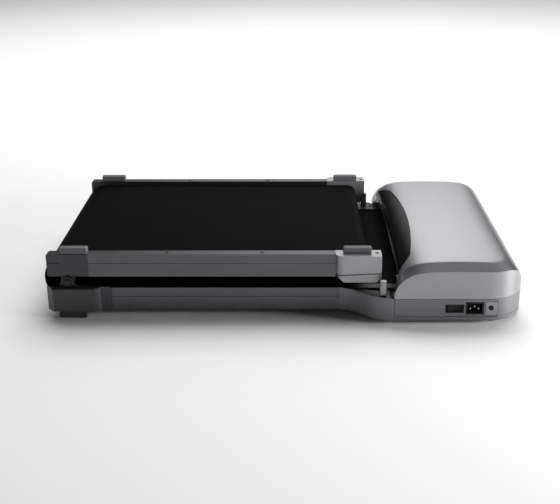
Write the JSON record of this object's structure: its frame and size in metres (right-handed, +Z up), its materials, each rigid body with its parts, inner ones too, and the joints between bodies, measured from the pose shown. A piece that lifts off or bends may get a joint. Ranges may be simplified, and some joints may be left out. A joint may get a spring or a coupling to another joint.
{
  "type": "folding walking treadmill",
  "caption": "Slim electric walking treadmill, folded in half: belt deck on a side hinge, low rounded motor hood with display window, mains inlet and power switch",
  "frame": {"origin": "middle of the folded treadmill's footprint, on the floor", "axes": "+X from the fold towards the motor hood, +Y to the left of someone facing the hood, +Z up"},
  "size_m": [0.832, 0.5184, 0.124],
  "materials": {
    "rail_metal": "anodised grey, satin",
    "cap_paint": "silver-grey satin paint",
    "hood_plastic": "silver-grey painted ABS",
    "base_plastic": "dark grey moulded ABS",
    "window_plastic": "smoked gloss",
    "black_plastic": "fine texture",
    "belt_rubber": "fine diamond grain",
    "foot_rubber": "moulded grey rubber",
    "black_rubber": "moulded",
    "steel": "zinc plated",
    "black_steel": "black powder coat",
    "deck_wood": "laminated board",
    "circuit_board": "green solder mask",
    "brass": "turned"
  },
  "bodies": {
    "front_half": {"base_shell": "base_plastic", "bearing_blocks": "steel", "belt_inner_bend": "belt_rubber", "belt_outer_bend": "belt_rubber", "bottom_tray": "black_plastic", "control_board": "circuit_board", "corner_cover_left": "cap_paint", "corner_cover_right": "cap_paint", "display_board": "circuit_board", "display_window": "window_plastic", "drive_belt": "black_rubber", "front_cross_members": "black_steel", "front_cushions": "black_rubber", "front_deck": "deck_wood", "front_rail_left": "rail_metal", "front_rail_right": "rail_metal", "heat_sink": "rail_metal", "hinge_end_feet": "black_rubber", "hinge_pins": "steel", "hinge_plates": "black_steel", "hood_cover": "hood_plastic", "hood_feet": "black_rubber", "inlet_pins": "brass", "motor_body": "black_steel", "motor_mount": "black_steel", "power_inlet": "black_plastic", "reset_breaker": "black_plastic", "rest_posts": "cap_paint", "roller_bearings": "steel", "socket_panel": "black_plastic", "switch_housing": "black_plastic", "transition_cover_left": "base_plastic", "transition_cover_right": "base_plastic", "walking_belt_front": "belt_rubber", "wheel_axles": "steel"},
    "rear_half": {"rear_rail_right": "rail_metal", "rear_rail_left": "rail_metal", "rear_deck": "deck_wood", "rear_cushions": "black_rubber", "rear_cross_members": "black_steel", "walking_belt_rear": "belt_rubber", "rear_hinge_cap_right": "cap_paint", "rear_hinge_cap_left": "cap_paint", "hinge_bushes": "brass", "tail_cap_right": "cap_paint", "tail_cap_left": "cap_paint", "tail_lids": "cap_paint", "tension_screws": "steel", "rear_feet": "foot_rubber", "tail_axle": "steel", "rear_screws": "steel"},
    "drive_roller_body": {"drive_roller": "steel", "roller_pulley": "steel"},
    "motor_rotor_body": {"motor_rotor": "steel"},
    "tail_roller_body": {"tail_roller": "steel", "tail_roller_bearings": "steel"},
    "right_wheel": {"front_wheel_right": "black_rubber"},
    "left_wheel": {"front_wheel_left": "black_rubber"},
    "power_rocker": {"switch_rocker": "black_plastic"},
    "breaker_button": {"reset_button": "black_plastic"}
  },
  "joints": [
    {"name": "fold_hinge", "type": "hinge", "parent": "front_half", "child": "rear_half", "pos_m": [-0.372, 0, 0.062], "axis": [0, -1, 0], "range_deg": [0, 180], "deforming": ["belt_outer_bend", "belt_inner_bend"]},
    {"name": "drive_roller_spin", "type": "hinge", "parent": "front_half", "child": "drive_roller_body", "pos_m": [0.228, 0, 0.03375], "axis": [0, 1, 0], "continuous": true},
    {"name": "motor_spin", "type": "hinge", "parent": "front_half", "child": "motor_rotor_body", "pos_m": [0.322, 0, 0.056], "axis": [0, 1, 0], "continuous": true},
    {"name": "tail_roller_spin", "type": "hinge", "parent": "rear_half", "child": "tail_roller_body", "pos_m": [0.134, 0, 0.09025], "axis": [0, 1, 0], "continuous": true},
    {"name": "right_wheel_spin", "type": "hinge", "parent": "front_half", "child": "right_wheel", "pos_m": [0.392, 0, 0.014], "axis": [0, 1, 0], "continuous": true},
    {"name": "left_wheel_spin", "type": "hinge", "parent": "front_half", "child": "left_wheel", "pos_m": [0.392, 0, 0.014], "axis": [0, 1, 0], "continuous": true},
    {"name": "power_rocker_tilt", "type": "hinge", "parent": "front_half", "child": "power_rocker", "pos_m": [0.2926, -0.251, 0.0285], "axis": [0, 0, -1], "range_deg": [0, 14]},
    {"name": "reset_button_push", "type": "slide", "parent": "front_half", "child": "breaker_button", "axis": [0, 1, 0], "range_m": [0, 0.003], "stiffness_N_per_m": 300}
  ],
  "couplings": [
    {"joint": "tail_roller_spin", "follows": "drive_roller_spin", "ratio": 1},
    {"joint": "motor_spin", "follows": "drive_roller_spin", "ratio": 1.4167}
  ]
}
